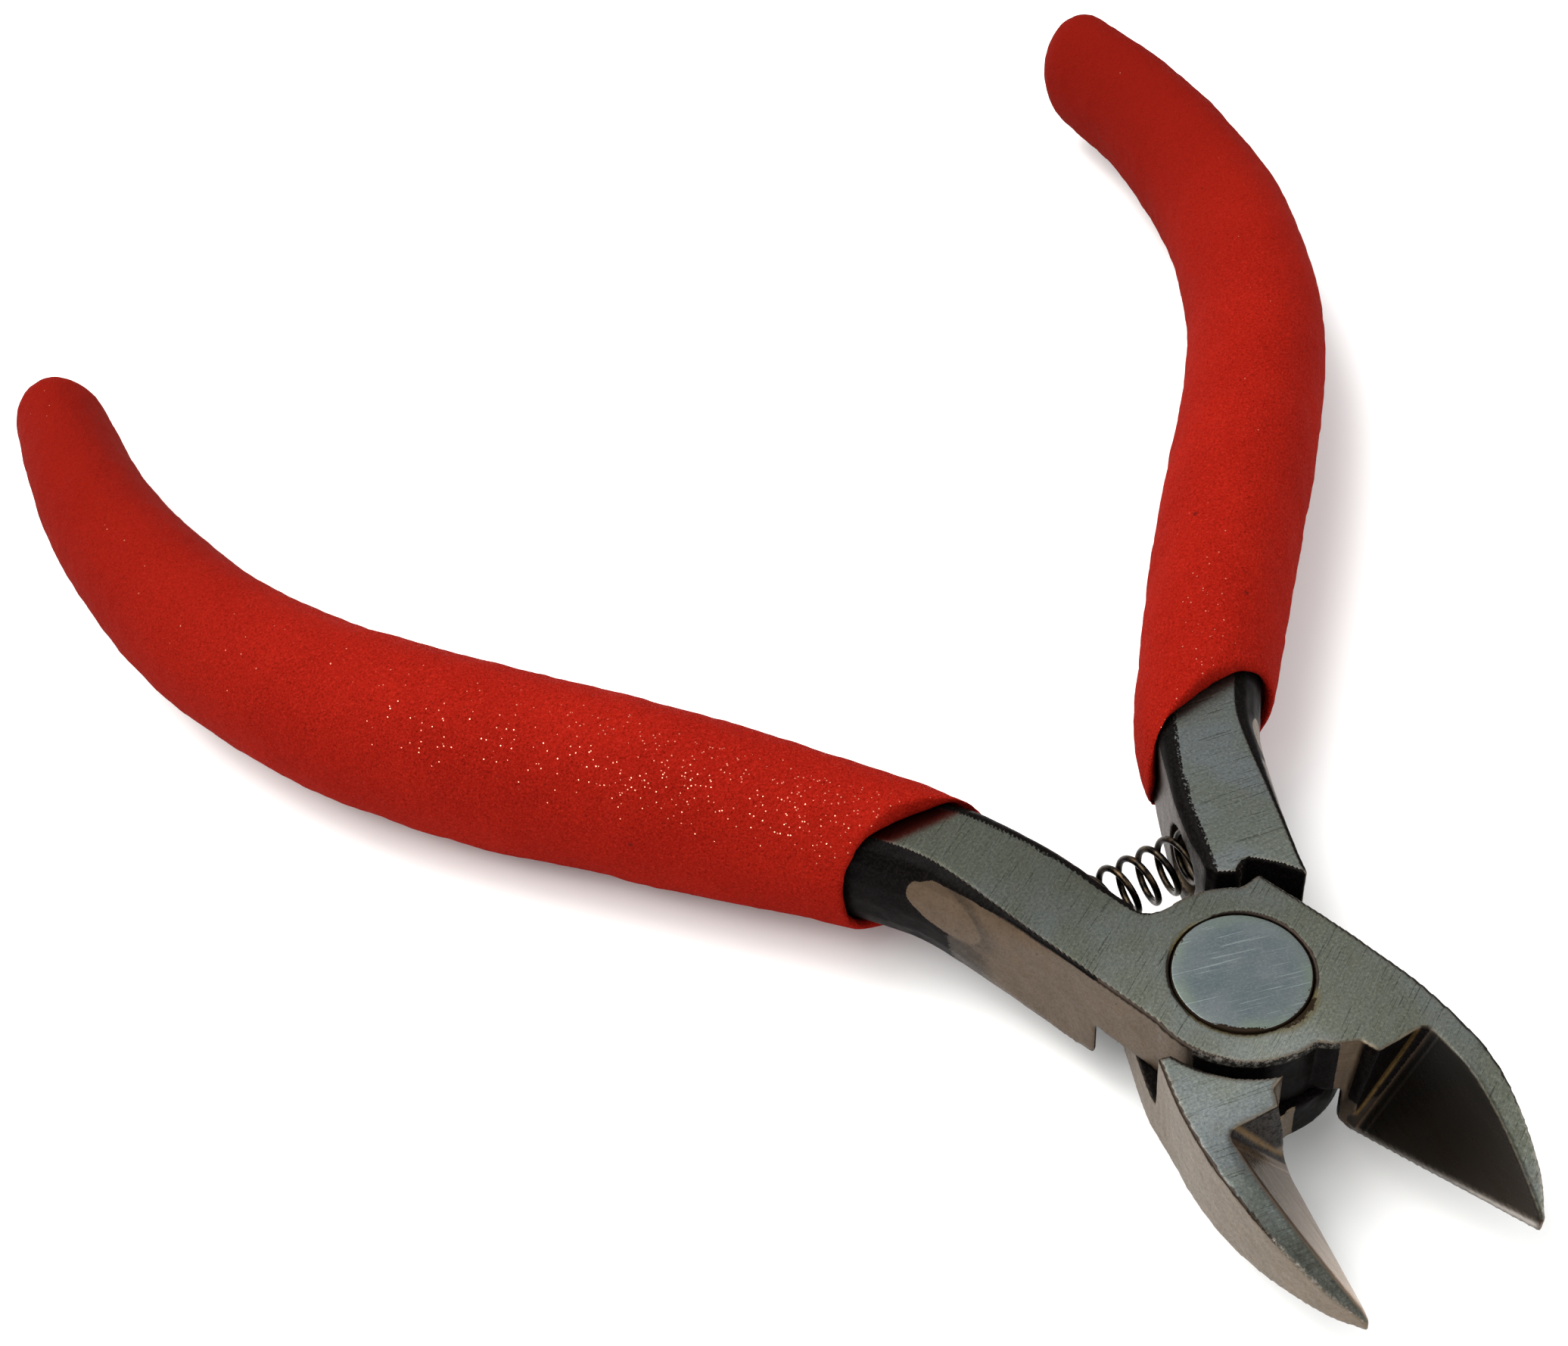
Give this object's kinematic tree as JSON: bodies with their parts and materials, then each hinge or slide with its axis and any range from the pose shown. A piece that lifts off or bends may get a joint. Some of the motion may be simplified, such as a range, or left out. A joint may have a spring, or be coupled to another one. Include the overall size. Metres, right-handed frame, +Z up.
{
  "type": "flush cutter",
  "caption": "Small lap-jointed side cutter with a flush rivet, a coil return spring between the tangs and soft foam grips on curved handles.",
  "frame": {"origin": "centre of the rivet's flush underside face, on the pivot axis", "axes": "+Z up along the pivot axis, jaws towards -Y, handles towards +Y, the upper half's handle on the -X side"},
  "size_m": [0.1044, 0.1163, 0.015],
  "materials": {
    "ground_steel": "ground flats with fine cross scratches, black oxide in the recesses and satin sides",
    "rivet_steel": "ground flush with the flats",
    "spring_steel": "dark blued wire",
    "grip_foam": "red foamed vinyl with a fine sandy pore"
  },
  "bodies": {
    "upper": {"upper_half": "ground_steel", "rivet": "rivet_steel", "left_grip": "grip_foam", "return_spring": "spring_steel"},
    "lower": {"lower_half": "ground_steel", "right_grip": "grip_foam"}
  },
  "joints": [
    {"name": "jaw_pivot", "type": "hinge", "parent": "upper", "child": "lower", "pos_m": [0, 0, 0.0041], "axis": [0, 0, 1], "range_deg": [-9.5, 30.8], "stiffness_Nm_per_rad": 0.5, "deforming": ["return_spring"]}
  ]
}
